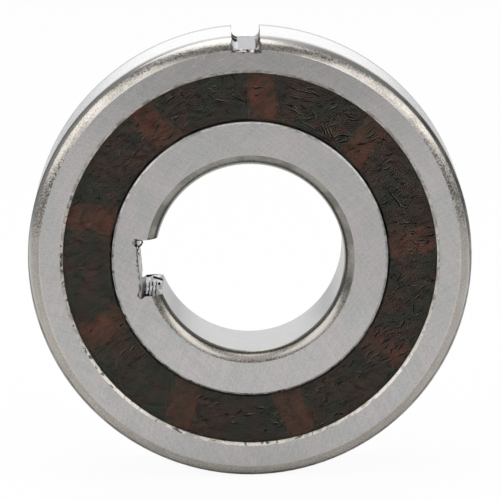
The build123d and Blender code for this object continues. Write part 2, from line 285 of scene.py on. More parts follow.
@dataclass(frozen=True)
class RingFinish:
    """Ground bearing steel: faces, polished seat, turned corners, track and broached keyway."""

    name: str
    ring: "HousingRing | ShaftRing"
    half_width: float = 7.0
    face_warm: Colour = (0.530, 0.502, 0.498)
    face_cool: Colour = (0.492, 0.490, 0.480)
    turned_dark: Colour = (0.25, 0.235, 0.21)
    turned_light: Colour = (0.55, 0.51, 0.47)
    # Colour of the painted highlight along the corner's face edge, also used on the outer keyway's lip and chips.
    line_colour: Colour = (0.62, 0.60, 0.57)
    # Dark colour of residue, also used for painted shade.
    residue_and_shade_colour: Colour = (0.055, 0.050, 0.042)
    broached_dark: Colour = (0.50, 0.495, 0.515)
    broached_light: Colour = (0.62, 0.61, 0.635)
    residue_and_shade_share: float = 1.0
    streaks: float = 0.5
    burr_reach: float = 0.03

    @property
    def outward(self) -> float:
        """1 where the seat is the ring's rim, -1 where it is its bore."""
        return 1.0 if self.ring.seat > self.ring.track else -1.0

    @property
    def key_floor(self) -> float:
        """Distance from the shaft axis to the keyway's floor."""
        return self.ring.seat - self.outward * self.ring.key_depth

    def ground_face(self, r: RingRecipe) -> Surface:
        """Ground face: faint arcs, fine grain, short scratches and dark pinpricks; painted shade towards the top and
        painted light towards the bottom.

        Args:
            r: the recipe.

        Returns:
            The surface.
        """
        grain = r.noise(r.place, 6.5, 3.0)
        cloud = r.noise(r.place, 0.30, 3.0, 0.4)
        wheel = r.plus(r.arcs(34.0, -26.0, 5.0), r.arcs(-30.0, -34.0, 4.0))
        scratch: Value = 0.0
        for turn, start in ((17.0, 0.62), (-38.0, 0.64), (71.0, 0.63)):
            lines = r.noise(r.turned(turn, (0.45, 0.45, 8.0)), 1.0, 3.0, 0.3)
            scratch = r.plus(scratch, r.ramp(lines, start, start + 0.10))
        scratch = r.math("MINIMUM", scratch, 1.0)
        prick = r.ramp(r.noise(r.place, 2.6, 1.0), 0.76, 0.80)
        # Painted shade: the face darkens towards the top, from a given height.
        top_shade = r.ramp(r.z, self.ring.top_shade_from, self.ring.top_shade_from + 18.0)
        tone = r.plus(r.ramp(grain, 0.3, 0.7, 0.92, 1.08), r.ramp(wheel, 0.7, 1.3, -0.06, 0.06))
        tone = r.plus(tone, r.times(scratch, r.ramp(top_shade, 0.0, 1.0, 0.07, 0.30)))
        tone = r.times(tone, r.ramp(top_shade, 0.0, 1.0, 1.0, 0.75))
        # Painted light: the face brightens towards the bottom.
        low_end = -0.85 * max(self.ring.seat, self.ring.track)
        tone = r.times(tone, r.ramp(r.z, low_end, 0.0, self.ring.face_tone * self.ring.low_face_light, self.ring.face_tone))
        tone = r.plus(tone, r.times(prick, -0.16))
        colour = r.toned(r.mixed(r.ramp(cloud, 0.38, 0.62), self.face_warm, self.face_cool), tone)
        rough = r.plus(r.ramp(grain, 0.3, 0.7, 0.28, 0.36), r.times(scratch, -0.06))
        height = r.plus(r.times(grain, 0.16), r.plus(r.times(wheel, 0.10), r.times(scratch, 0.06)))
        return Surface(colour, rough, height)

    def polished_seat(self, r: RingRecipe) -> Surface:
        """Seat with faint lines round it, and a duller land where the grinding stops.

        Args:
            r: the recipe.

        Returns:
            The surface.
        """
        cloud = r.noise(r.place, 1.1, 4.0, 0.4)
        tone = r.plus(r.ramp(r.turning, 0.3, 0.7, 0.94, 1.03), r.ramp(cloud, 0.35, 0.65, -0.04, 0.02))
        land = r.ramp(r.off_centre, self.ring.land_start - 0.08, self.ring.land_start + 0.08)
        colour = r.toned(r.mixed(land, self.ring.seat_colour, self.ring.land_colour), tone)
        rough = r.plus(r.ramp(r.fine_turning, 0.3, 0.7, 0.16, 0.28), r.times(land, 0.08))
        return Surface(colour, rough, r.times(r.fine_turning, 0.08))

    def turned_corner(self, r: RingRecipe) -> Surface:
        """Corner: smooth beside the seat, then grainy; a dark band by the seat of residue and painted shade, painted
        shade at the top, and a painted highlight line at the ground face.

        Args:
            r: the recipe.

        Returns:
            The surface.
        """
        reach = abs(self.ring.seat - self.ring.face_edge)
        depth = r.times(r.plus(r.times(r.radius, -self.outward), self.outward * self.ring.seat), 1.0 / reach)
        coarse = r.noise(r.place, 5.0, 1.0, 0.4)
        patchy = r.noise(r.place, 0.5, 3.0)
        calm = r.ramp(r.z, self.ring.grain_from, self.ring.grain_from + 13.0, 0.35, 1.0)
        speckle = r.ramp(r.plus(coarse, r.times(patchy, 0.5)), 0.45, 1.0)
        speckle = r.blended(calm, 0.42, speckle)
        grainy = r.mixed(speckle, self.turned_dark, self.turned_light)
        grainy = r.toned(grainy, r.ramp(r.turning, 0.35, 0.65, 0.92, 1.06))
        # Painted shade over the top of the corner, towards the face.
        corner_top_shade = r.times(r.ramp(r.z, 20.0, 22.0, 0.0, 0.5), r.ramp(depth, 0.38, 0.55))
        grainy = r.toned(grainy, r.plus(1.0, r.times(corner_top_shade, -1.0)))
        still = r.ramp(r.z, self.ring.still_from, self.ring.still_from + 4.0)
        grainy = r.mixed(still, grainy, r.toned(self.ring.land_colour, r.ramp(patchy, 0.35, 0.65, 0.45, 0.75)))
        smooth = r.drop(depth, 0.20, 0.34)
        colour = r.mixed(smooth, grainy, self.ring.land_colour)
        # Dark band beside the seat: residue, with painted shade that widens towards the bottom as a contact shadow
        # and fades out at the top.
        limit = r.plus(depth, r.ramp(r.z, -14.0, 2.0, -0.16, 0.0))
        limit = r.plus(limit, r.times(r.ramp(r.x, -6.0, 8.0, 0.04, -0.12), r.ramp(r.z, -4.0, 2.0)))
        residue_and_shade = r.times(r.drop(limit, 0.10, 0.15), r.ramp(r.z, 14.0, 21.0, 0.85, 0.0))
        share = r.ramp(patchy, 0.35, 0.6, 0.6 * self.residue_and_shade_share, self.residue_and_shade_share)
        colour = r.mixed(r.times(residue_and_shade, share), colour, self.residue_and_shade_colour)
        # Painted highlight: a bright line along the corner's edge at the ground face.
        line = r.ramp(depth, 0.91, 0.97)
        colour = r.mixed(r.times(line, 0.8), colour, self.line_colour)
        rough = r.blended(smooth, r.ramp(coarse, 0.3, 0.7, 0.22, 0.36), 0.20)
        height = r.times(r.plus(coarse, r.times(r.turning, self.streaks)), r.ramp(smooth, 0.0, 1.0, 0.30, 0.06))
        height = r.times(height, r.ramp(still, 0.0, 1.0, 1.0, 0.2), calm)
        return Surface(colour, rough, height)

    def broached_keyway(self, r: RingRecipe) -> Surface:
        """Keyway with broach marks along it.

        Args:
            r: the recipe.

        Returns:
            The surface.
        """
        stroke = r.noise(r.vector(r.times(r.lateral, 3.0), r.times(r.y, 0.12), r.times(r.along, 3.0)), 1.0, 1.0, 0.3)
        colour = r.mixed(r.ramp(stroke, 0.36, 0.60), self.broached_dark, self.broached_light)
        return Surface(colour, r.ramp(stroke, 0.3, 0.7, 0.36, 0.46), r.times(stroke, 0.2))

    def burr(self, r: RingRecipe) -> Socket:
        """Ragged burr mask along the keyway's edges on the face, with painted shade in the inner ring's corner
        reliefs.

        Args:
            r: the recipe.

        Returns:
            The mask.
        """
        aside = r.plus(r.math("ABSOLUTE", r.lateral), -self.ring.key_width / 2)
        beyond = r.times(r.plus(r.times(r.along, -1.0), self.key_floor), self.outward)
        wander = r.ramp(r.noise(r.place, 1.7, 2.0), 0.35, 0.65, -0.10, 0.12)
        distance = r.plus(r.most(aside, beyond), wander)
        gone = r.ramp(r.noise(r.place, 0.9, 1.0), 0.40, 0.50)
        on_face = r.ramp(r.off_centre, self.half_width - 0.6, self.half_width - 0.5)
        near = r.times(r.drop(distance, self.burr_reach, self.burr_reach + 0.08), r.ramp(r.along, 0.0, 0.5))
        near = r.times(near, gone, on_face)
        if self.outward > 0:
            return near
        # Painted shade in the corner reliefs of the inner ring's keyway, at half strength.
        relief_shade = r.times(r.ramp(aside, 0.02, 0.04), r.drop(aside, 0.44, 0.46))
        relief_shade = r.times(relief_shade, r.ramp(r.along, self.key_floor - 0.48, self.key_floor - 0.44))
        relief_shade = r.times(relief_shade, r.drop(r.off_centre, self.half_width - 0.012, self.half_width - 0.008))
        relief_shade = r.times(relief_shade, r.drop(r.along, self.key_floor + 0.44, self.key_floor + 0.46))
        return r.most(near, r.times(relief_shade, 0.5))

    def edge(self, r: RingRecipe) -> Surface:
        """Small chamfer at the track, bright in ragged stretches.

        Args:
            r: the recipe.

        Returns:
            The surface.
        """
        ragged = r.ramp(r.noise(r.place, 1.3, 2.0), 0.40, 0.60)
        fleck = r.times(r.ramp(r.noise(r.place, 1.8, 2.0, 0.5), 0.56, 0.63), r.ramp(r.x, 2.0, 14.0, 1.0, 0.4))
        colour = r.mixed(ragged, r.toned(self.ring.edge_colour, 0.68), self.ring.edge_colour)
        colour = r.mixed(r.times(fleck, r.ramp(r.z, 0.0, 14.0, 0.85, 0.35)), colour, self.residue_and_shade_colour)
        return Surface(colour, r.ramp(ragged, 0.0, 1.0, 0.35, 0.5), r.times(ragged, 0.15))

    def zones(self, r: RingRecipe) -> tuple[Socket, ...]:
        """Works out where each surface lies.

        Args:
            r: the recipe.

        Returns:
            Masks of the edge break, the corner, the seat, the keyway and the face.
        """
        reach, outward = r.times(r.radius, self.outward), self.outward
        face = r.ramp(r.off_centre, self.half_width - 0.012, self.half_width - 0.004)
        off_face = r.drop(face, 0.0, 1.0)
        seat = r.ramp(reach, outward * self.ring.seat - 0.045, outward * self.ring.seat - 0.02)
        seat = r.times(seat, r.drop(r.off_centre, self.ring.corner_start, self.ring.corner_start + 0.03))
        corner = r.ramp(reach, outward * self.ring.face_edge - 0.03, outward * self.ring.face_edge - 0.01)
        corner = r.times(corner, r.ramp(r.off_centre, self.ring.corner_start, self.ring.corner_start + 0.02))
        half = self.ring.key_width / 2
        keyway = r.drop(r.math("ABSOLUTE", r.lateral), half + 0.03, half + 0.05)
        keyway = r.times(keyway, r.ramp(r.along, 0.0, 0.5))
        if outward > 0:
            keyway = r.times(keyway, r.ramp(r.along, self.key_floor - 0.05, self.key_floor - 0.03))
        else:
            keyway = r.times(keyway, r.drop(r.along, self.key_floor + 0.45, self.key_floor + 0.47))
        edge_start = outward * self.ring.track + self.ring.edge_break + 0.02
        edge_break = r.ramp(reach, edge_start, edge_start - 0.01)
        return edge_break, r.times(corner, off_face), seat, r.times(keyway, off_face), face

    def material(self) -> bpy.types.Material:
        """Builds the material.

        Returns:
            The material.
        """
        r = RingRecipe(self.name, self.ring.key_angle)
        track = self.polished_seat(r)
        colour, rough, height = r.toned(track.colour, 0.7), track.rough, track.height
        sheen: Value = 1.0
        surfaces = (self.edge(r), self.turned_corner(r), track, self.broached_keyway(r), self.ground_face(r))
        for mask, surface in zip(self.zones(r), surfaces):
            colour = r.mixed(mask, colour, surface.colour)
            rough = r.blended(mask, rough, surface.rough)
            height = r.blended(mask, height, surface.height)
            sheen = r.blended(mask, sheen, surface.sheen)
        # The burr mask also carries painted shade in the inner ring's keyway reliefs.
        burr = self.burr(r)
        colour = r.mixed(r.times(burr, 0.85), colour, self.residue_and_shade_colour)
        sheen = r.times(sheen, r.ramp(burr, 0.0, 1.0, 1.0, 0.2))
        return r.finish(colour, rough, r.relief(height, 0.03), Metallic=1.0, **{"Specular Tint": sheen})


@dataclass(frozen=True)
class HousingRingFinish(RingFinish):
    """Outer ring's steel, with worn walls in its narrow keyway."""

    lip: float = 4.4
    wall_brown: Colour = (0.075, 0.060, 0.046)
    wall_pale: Colour = (0.66, 0.675, 0.73)

    def broached_keyway(self, r: RingRecipe) -> Surface:
        """Smooth floor, one pale and one brown wall, and a ragged lip at the front.

        Args:
            r: the recipe.

        Returns:
            The surface.
        """
        plain = super().broached_keyway(r)
        mottle = r.ramp(r.noise(r.vector(r.times(r.x, 2.4), r.times(r.y, 0.7), r.times(r.z, 2.4))), 0.42, 0.58)
        brown = r.mixed(mottle, self.wall_brown, r.toned(self.wall_brown, 4.5))
        colour = r.mixed(r.ramp(r.lateral, 0.75, 0.95), r.toned(plain.colour, 0.72), self.wall_pale)
        worn = r.times(r.ramp(r.lateral, -0.95, -1.12), r.ramp(r.y, 4.5, 3.0))
        colour = r.mixed(worn, colour, brown)
        wander = r.times(mottle, 0.9)
        lip = r.ramp(r.plus(r.times(r.y, -1.0), wander), self.lip, self.lip + 0.4)
        colour = r.mixed(lip, colour, r.mixed(mottle, brown, self.line_colour))
        chip = r.times(r.ramp(r.lateral, 0.80, 0.95), r.ramp(r.plus(r.y, wander), 2.2, 3.0))
        speck = r.between(r.y, 4.6, 5.4, 0.2)
        colour = r.mixed(chip, colour, r.mixed(r.times(speck, 0.6), self.residue_and_shade_colour, self.line_colour))
        dark = r.times(r.most(lip, worn), r.drop(mottle, 0.0, 1.0))
        dark = r.most(dark, r.times(chip, r.ramp(speck, 0.0, 1.0, 1.0, 0.4)))
        return Surface(colour, plain.rough, plain.height, r.ramp(dark, 0.0, 1.0, 1.0, 0.1))


@dataclass(frozen=True)
class ShaftRingFinish(RingFinish):
    """Inner ring's steel, with deep broach scores in its wide keyway."""

    burr_reach: float = 0.12
    residue_and_shade_share: float = 0.15
    streaks: float = 2.6
    score_colour: Colour = (0.006, 0.006, 0.005)
    score_pitch: float = 17.0

    def broached_keyway(self, r: RingRecipe) -> Surface:
        """Mottled walls with dark scores near the floor, chips and a dark, ragged lip.

        Args:
            r: the recipe.

        Returns:
            The surface.
        """
        plain = super().broached_keyway(r)
        streaked = r.vector(r.times(r.x, 2.4), r.times(r.y, 0.3), r.times(r.z, 2.4))
        grit = r.noise(streaked, 1.0, 2.0)
        lower = r.ramp(r.lateral, 2.6, 2.8)
        wave = r.math("SINE", r.plus(r.times(r.along, self.score_pitch), r.times(grit, 5.0)))
        uneven = r.noise(r.vector(r.times(r.along, 2.0), 0.0, 0.0))
        length = r.drop(r.plus(r.y, r.times(uneven, 6.0)), 4.0, 6.0)
        score = r.times(r.ramp(wave, 0.35, 0.75), length, r.ramp(r.along, 10.0, 10.3))
        slant = r.between(r.plus(r.y, r.times(r.along, -2.4)), -21.0, -19.6, 0.2)
        slant = r.times(slant, r.between(r.along, 9.6, 10.7, 0.05), lower)
        reach = r.vector(r.times(r.plus(r.along, -9.98), 6.0), r.plus(r.y, -0.5), 0.0)
        pit = r.times(r.drop(r.length(reach), 0.7, 1.1), lower)
        reach_in = r.ramp(r.along, 10.3, 11.3, 0.0, 1.6)
        lip = r.ramp(r.plus(r.off_centre, r.plus(r.times(grit, 1.6), reach_in)), 7.5, 7.8)
        lip = r.times(lip, r.drop(grit, 0.50, 0.58))
        mottle = r.ramp(grit, 0.38, 0.62)
        tone = r.blended(mottle, r.ramp(lower, 0.0, 1.0, 0.80, 0.38), r.ramp(lower, 0.0, 1.0, 1.08, 1.2))
        colour = r.toned(plain.colour, tone)
        marks = r.most(r.times(score, lower), slant, pit, lip)
        colour = r.mixed(r.times(marks, 0.92), colour, self.score_colour)
        height = r.plus(plain.height, r.times(marks, -0.4))
        return Surface(colour, plain.rough, height, r.ramp(marks, 0.0, 1.0, 1.0, 0.05))


@dataclass(frozen=True)
class FilmFinish:
    """Dark, glossy film that shows what lies right behind it."""

    name: str
    olive: Colour = (0.0120, 0.0175, 0.0105)
    brown: Colour = (0.0350, 0.0150, 0.0095)
    dusty: Colour = (0.20, 0.19, 0.17)
    tint: Colour = (1.0, 0.95, 0.86)
    solid: float = 0.50
    ior: float = 1.55

    def material(self) -> bpy.types.Material:
        """Builds the material.

        Returns:
            The material.
        """
        r = Recipe(self.name)
        blot = r.noise(r.place, 0.42, 3.0, 0.5)
        mottle = r.noise(r.place, 1.2, 1.0, 0.6)
        ripple = r.noise(r.turned(38.0, (1.0, 0.4, 2.4)), 1.0, 1.0, 0.8)
        swell = r.plus(r.noise(r.place, 0.7, 1.0, 0.8), r.times(ripple, 0.5))
        dust = r.noise(r.place, 3.0, 0.0)
        colour = r.mixed(r.ramp(blot, 0.42, 0.58), self.olive, self.brown)
        colour = r.toned(colour, r.ramp(mottle, 0.35, 0.65, 0.5, 1.4))
        colour = r.mixed(r.ramp(dust, 0.80, 0.84, 0.0, 0.7), colour, self.dusty)
        return r.finish(colour, r.ramp(mottle, 0.35, 0.65, 0.28, 0.36), r.relief(swell, 0.16), Alpha=self.solid,
                        IOR=self.ior, **{"Specular Tint": self.tint})


@dataclass(frozen=True)
class CreaseFinish:
    """Finish of one flank of a crease in the film: painted shade on the shadowed flank, painted highlight on the
    other.
    """

    name: str
    dark: Colour
    light: Colour
    gloss: float

    def material(self) -> bpy.types.Material:
        """Builds the material.

        Returns:
            The material.
        """
        r = Recipe(self.name)
        fade = r.noise(r.place, 1.2, 2.0)
        colour = r.mixed(r.ramp(fade, 0.35, 0.65), self.dark, self.light)
        return r.finish(colour, r.ramp(fade, 0.3, 0.7, 0.5, 0.7), **{"Specular IOR Level": self.gloss})


@dataclass(frozen=True)
class OilStain:
    """Red-brown preserving oil on the end of each sprag, which creeps onto the cage beside it."""

    first: float = 4.3
    pitch: float = 40.0
    middle_radius: float = 17.2
    half: float = 1.00
    fade: float = 0.90
    offset: float = 0.12
    lean: float = 0.157
    pale: Colour = (0.68, 0.125, 0.030)
    deep: Colour = (0.34, 0.062, 0.016)

    def from_middle(self, r: Recipe) -> Socket:
        """Distance from the middle line of the nearest sprag, across its end face.

        Args:
            r: the recipe.

        Returns:
            The distance in millimetres.
        """
        bearing = r.times(r.math("ARCTAN2", r.z, r.x), 180.0 / math.pi)
        steps = r.times(r.plus(bearing, 360.0 + self.pitch / 2 - self.first), 1.0 / self.pitch)
        turn = r.times(r.plus(r.math("FRACT", steps), -0.5), math.radians(self.pitch))
        lean = r.times(r.plus(r.radius, -self.middle_radius), -self.lean)
        return r.math("ABSOLUTE", r.plus(r.times(turn, r.radius), r.plus(lean, -self.offset)))

    def share(self, r: Recipe) -> Socket:
        """How much of the surface the oil covers.

        Args:
            r: the recipe.

        Returns:
            The share, from 0 to 1, which fades out in a ragged way.
        """
        ragged = r.plus(r.noise(r.place, 1.3, 2.0), r.times(r.noise(r.place, 0.45, 1.0), 0.8))
        spread = r.plus(self.from_middle(r), r.ramp(ragged, 0.6, 1.2, -0.4, 0.4))
        cover = r.drop(spread, self.half, self.half + self.fade)
        return r.times(cover, r.ramp(r.radius, 14.75, 15.05))

    def colour(self, r: Recipe) -> Socket:
        """Colour of the oil, clouded and wrinkled.

        Args:
            r: the recipe.

        Returns:
            The colour.
        """
        cloud = r.noise(r.place, 0.6, 3.0, 0.5)
        wrinkle = r.noise(r.turned(38.0, (1.2, 0.4, 3.0)), 1.0, 2.0, 0.8)
        colour = r.mixed(r.ramp(cloud, 0.35, 0.65), self.deep, self.pale)
        return r.toned(colour, r.ramp(wrinkle, 0.3, 0.7, 0.62, 1.25))


@dataclass(frozen=True)
class SpragFinish:
    """Hardened sprag: bright cams, end faces stained by preserving oil."""

    name: str
    end_at: float = 6.04
    bright: Colour = (0.52, 0.50, 0.48)
    scored: Colour = (0.40, 0.385, 0.37)
    bare: Colour = (0.010, 0.009, 0.008)
    stain: OilStain = OilStain()

    def material(self) -> bpy.types.Material:
        """Builds the material.

        Returns:
            The material.
        """
        r = Recipe(self.name)
        grain = r.noise(r.place, 4.0, 2.0)
        lines = r.noise(r.scaled(r.place, (6.0, 0.4, 6.0)), 1.0, 2.0)
        on_end = r.ramp(r.off_centre, self.end_at - 0.02, self.end_at)
        end = r.mixed(self.stain.share(r), self.bare, self.stain.colour(r))
        steel = r.mixed(r.ramp(lines, 0.35, 0.65), self.scored, self.bright)
        rough = r.plus(r.ramp(grain, 0.3, 0.7, 0.22, 0.38), r.times(on_end, 0.15))
        bump = r.relief(r.plus(lines, grain), 0.01)
        return r.finish(r.mixed(on_end, steel, end), rough, bump, Metallic=r.drop(on_end, 0.0, 1.0))


@dataclass(frozen=True)
class BallFinish:
    """Lapped ball: near-mirror steel with a haze of hairlines."""

    name: str
    hazy: Colour = (0.62, 0.61, 0.60)
    colour: Colour = (0.72, 0.72, 0.73)

    def material(self) -> bpy.types.Material:
        """Builds the material.

        Returns:
            The material.
        """
        r = Recipe(self.name)
        haze = r.noise(r.place, 1.4, 4.0, 0.7)
        hair = r.noise(r.turned(33.0, (1.0, 6.0, 12.0)), 1.0, 3.0, 0.4)
        colour = r.mixed(r.ramp(haze, 0.3, 0.7), self.hazy, self.colour)
        rough = r.plus(r.ramp(haze, 0.35, 0.7, 0.06, 0.14), r.ramp(hair, 0.62, 0.7, 0.0, 0.12))
        return r.finish(colour, rough, r.relief(hair, 0.002), Metallic=1.0)


@dataclass(frozen=True)
class CageFinish:
    """Black glass-filled nylon."""

    name: str
    dark: Colour = (0.005, 0.005, 0.0045)
    light: Colour = (0.016, 0.014, 0.013)
    face_at: float = 5.9
    gloss: float = 0.25
    stain: OilStain = OilStain()

    def material(self) -> bpy.types.Material:
        """Builds the material.

        Returns:
            The material.
        """
        r = Recipe(self.name)
        fibre = r.noise(r.scaled(r.place, (2.4, 1.0, 2.4)), 1.0, 2.0, 1.0)
        flow = r.noise(r.place, 0.6, 2.0, 0.8)
        colour = r.mixed(r.ramp(fibre, 0.35, 0.7), self.dark, self.light)
        oiled = r.times(self.stain.share(r), r.ramp(r.off_centre, self.face_at, self.face_at + 0.1))
        colour = r.mixed(oiled, colour, self.stain.colour(r))
        rough = r.plus(r.ramp(flow, 0.3, 0.7, 0.46, 0.58), r.ramp(fibre, 0.4, 0.7, 0.0, 0.12))
        return r.finish(colour, rough, r.relief(r.plus(fibre, flow), 0.015), **{"Specular IOR Level": self.gloss})


@dataclass(frozen=True)
class SpringFinish:
    """Drawn spring wire, slightly blued."""

    name: str
    colour: Colour = (0.40, 0.40, 0.42)
    oily: Colour = (0.24, 0.20, 0.16)

    def material(self) -> bpy.types.Material:
        """Builds the material.

        Returns:
            The material.
        """
        r = Recipe(self.name)
        drawn = r.noise(r.place, 9.0, 3.0)
        oil = r.noise(r.place, 0.6, 3.0)
        colour = r.mixed(r.ramp(oil, 0.4, 0.7), self.colour, self.oily)
        return r.finish(colour, r.ramp(drawn, 0.3, 0.7, 0.22, 0.40), r.relief(drawn, 0.006), Metallic=1.0)


# ---- dressing ----------------------------------------------------------------------------------------
def node(name: str) -> bpy.types.Object:
    """A CAD node's object."""
    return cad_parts[name]


def wear(piece: bpy.types.Object, material: bpy.types.Material) -> None:
    """Gives a piece its material.

    Args:
        piece: the object.
        material: what it wears.
    """
    if piece.material_slots:
        for holder in piece.material_slots:
            holder.material = material
    else:
        piece.data.materials.append(material)


def mesh_piece(name: str, points: np.ndarray, faces: list[tuple[int, ...]]) -> bpy.types.Object:
    """A smooth mesh object from points and faces.

    Args:
        name: the object's name.
        points: vertices in metres.
        faces: vertex numbers of each face.

    Returns:
        The object.
    """
    mesh = bpy.data.meshes.new(name)
    mesh.from_pydata(points.tolist(), [], faces)
    mesh.polygons.foreach_set("use_smooth", [True] * len(mesh.polygons))
    mesh.update()
    piece = bpy.data.objects.new(name, mesh)
    bpy.context.scene.collection.objects.link(piece)
    return piece


def tube_faces(rings: int, sides: int, closed: bool = False) -> list[tuple[int, ...]]:
    """Faces of a tube whose points lie ring by ring.

    Args:
        rings: how many rings there are.
        sides: points in each ring.
        closed: whether the last ring joins the first.

    Returns:
        Vertex numbers of each face.
    """
    faces = []
    for i in range(rings if closed else rings - 1):
        for k in range(sides):
            n, m = (i + 1) % rings, (k + 1) % sides
            faces.append((i * sides + k, n * sides + k, n * sides + m, i * sides + m))
    return faces


def around(radius: np.ndarray | float, level: np.ndarray | float, angle: np.ndarray) -> np.ndarray:
    """Points at a radius, a level along the shaft axis and an angle round it."""
    return np.stack(np.broadcast_arrays(radius * np.cos(angle), level, radius * np.sin(angle)), -1)


def unit(vectors: np.ndarray) -> np.ndarray:
    """Vectors made 1 long."""
    return vectors / np.linalg.norm(vectors, axis=1, keepdims=True)


def sideways(line: np.ndarray) -> np.ndarray:
    """Unit vectors across a line that lies in a plane."""
    run = unit(np.gradient(line, axis=0))
    return np.stack([run[:, 1], -run[:, 0]], -1)


# ---- sub-assemblies ----------------------------------------------------------------------------------
@dataclass
class HousingRing:
    """Outer ring with its narrow keyway at the top."""

    seat: float = 23.5
    track: float = 19.8
    face_edge: float = 22.2
    corner_start: float = 5.5
    land_start: float = 4.3
    # Height where the face's painted shade begins; the next but one field is the painted light on its lower part.
    top_shade_from: float = 6.5
    face_tone: float = 0.93
    low_face_light: float = 1.05
    still_from: float = 60.0
    grain_from: float = -3.0
    seat_colour: Colour = (0.76, 0.76, 0.77)
    land_colour: Colour = (0.46, 0.455, 0.44)
    edge_colour: Colour = (0.80, 0.755, 0.69)
    key_width: float = 3.0
    key_depth: float = 1.5
    key_angle: float = 90.0
    edge_break: float = 0.3

    def dress(self) -> None:
        """Gives the ring its finish."""
        wear(node("outer_ring"), HousingRingFinish("housing_ring_steel", self).material())
        log.info("outer ring dressed")


@dataclass
class ShaftRing:
    """Inner ring with its wide keyway at the left."""

    seat: float = 10.0
    track: float = 14.6
    face_edge: float = 11.15
    corner_start: float = 5.95
    land_start: float = 5.8
    # Height where the face's painted shade begins; the next but one field is the painted light on its lower part.
    top_shade_from: float = 40.0
    face_tone: float = 0.885
    low_face_light: float = 1.14
    still_from: float = -7.0
    grain_from: float = 60.0
    seat_colour: Colour = (0.355, 0.355, 0.355)
    land_colour: Colour = (0.40, 0.385, 0.345)
    edge_colour: Colour = (0.64, 0.63, 0.61)
    key_width: float = 6.0
    key_depth: float = 1.8
    key_angle: float = 184.0
    edge_break: float = 0.2

    def dress(self) -> None:
        """Gives the ring its finish."""
        wear(node("inner_ring"), ShaftRingFinish("shaft_ring_steel", self).material())
        BurrCurl().build()
        log.info("inner ring dressed")


@dataclass
class BurrCurl:
    """Little curl of steel left by the broach at the floor of the wide keyway."""

    middle: tuple[float, float] = (-11.68, 1.96)
    major: float = 0.33
    minor: float = 0.09
    tail: float = 1.1
    front: float = 6.84
    loop_points: int = 24
    tail_points: int = 9
    facets: int = 8
    finish: CreaseFinish = CreaseFinish("burr_steel", (0.010, 0.009, 0.007), (0.060, 0.055, 0.045), 0.5)

    def build(self) -> bpy.types.Object:
        """Builds the curl and its tail.

        Returns:
            The curl.
        """
        turns = np.linspace(-0.55 * math.pi, 1.30 * math.pi, self.loop_points)
        loop = np.stack([np.cos(turns), np.sin(turns)], -1) * self.major * (1 + 0.12 * np.sin(3 * turns))[:, None]
        drop = np.linspace(0.12, self.tail, self.tail_points)
        tail = loop[-1] + np.stack([0.10 * np.sin(7 * drop) + 0.12 * drop, -drop], -1)
        line = np.concatenate([loop, tail]) + self.middle
        thin = self.minor * (1 + 0.35 * np.sin(np.arange(len(line)) * 1.9)) * np.linspace(1.1, 0.6, len(line))
        count = self.facets
        sides = np.arange(count) * math.tau / count
        points = []
        for place, across, half in zip(line, sideways(line), thin):
            for turn in sides:
                x, z = place + across * half * math.cos(turn)
                points.append((x, -self.front + half * math.sin(turn), z))
        faces = [(a, d, c, b) for a, b, c, d in tube_faces(len(line), count)]
        faces += [tuple(range(count))[::-1], tuple(range(len(points) - count, len(points)))]
        curl = mesh_piece("keyway_burr", np.array(points) * MM, faces)
        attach(curl, "inner_ring")
        wear(curl, self.finish.material())
        log.info("keyway burr built")
        return curl


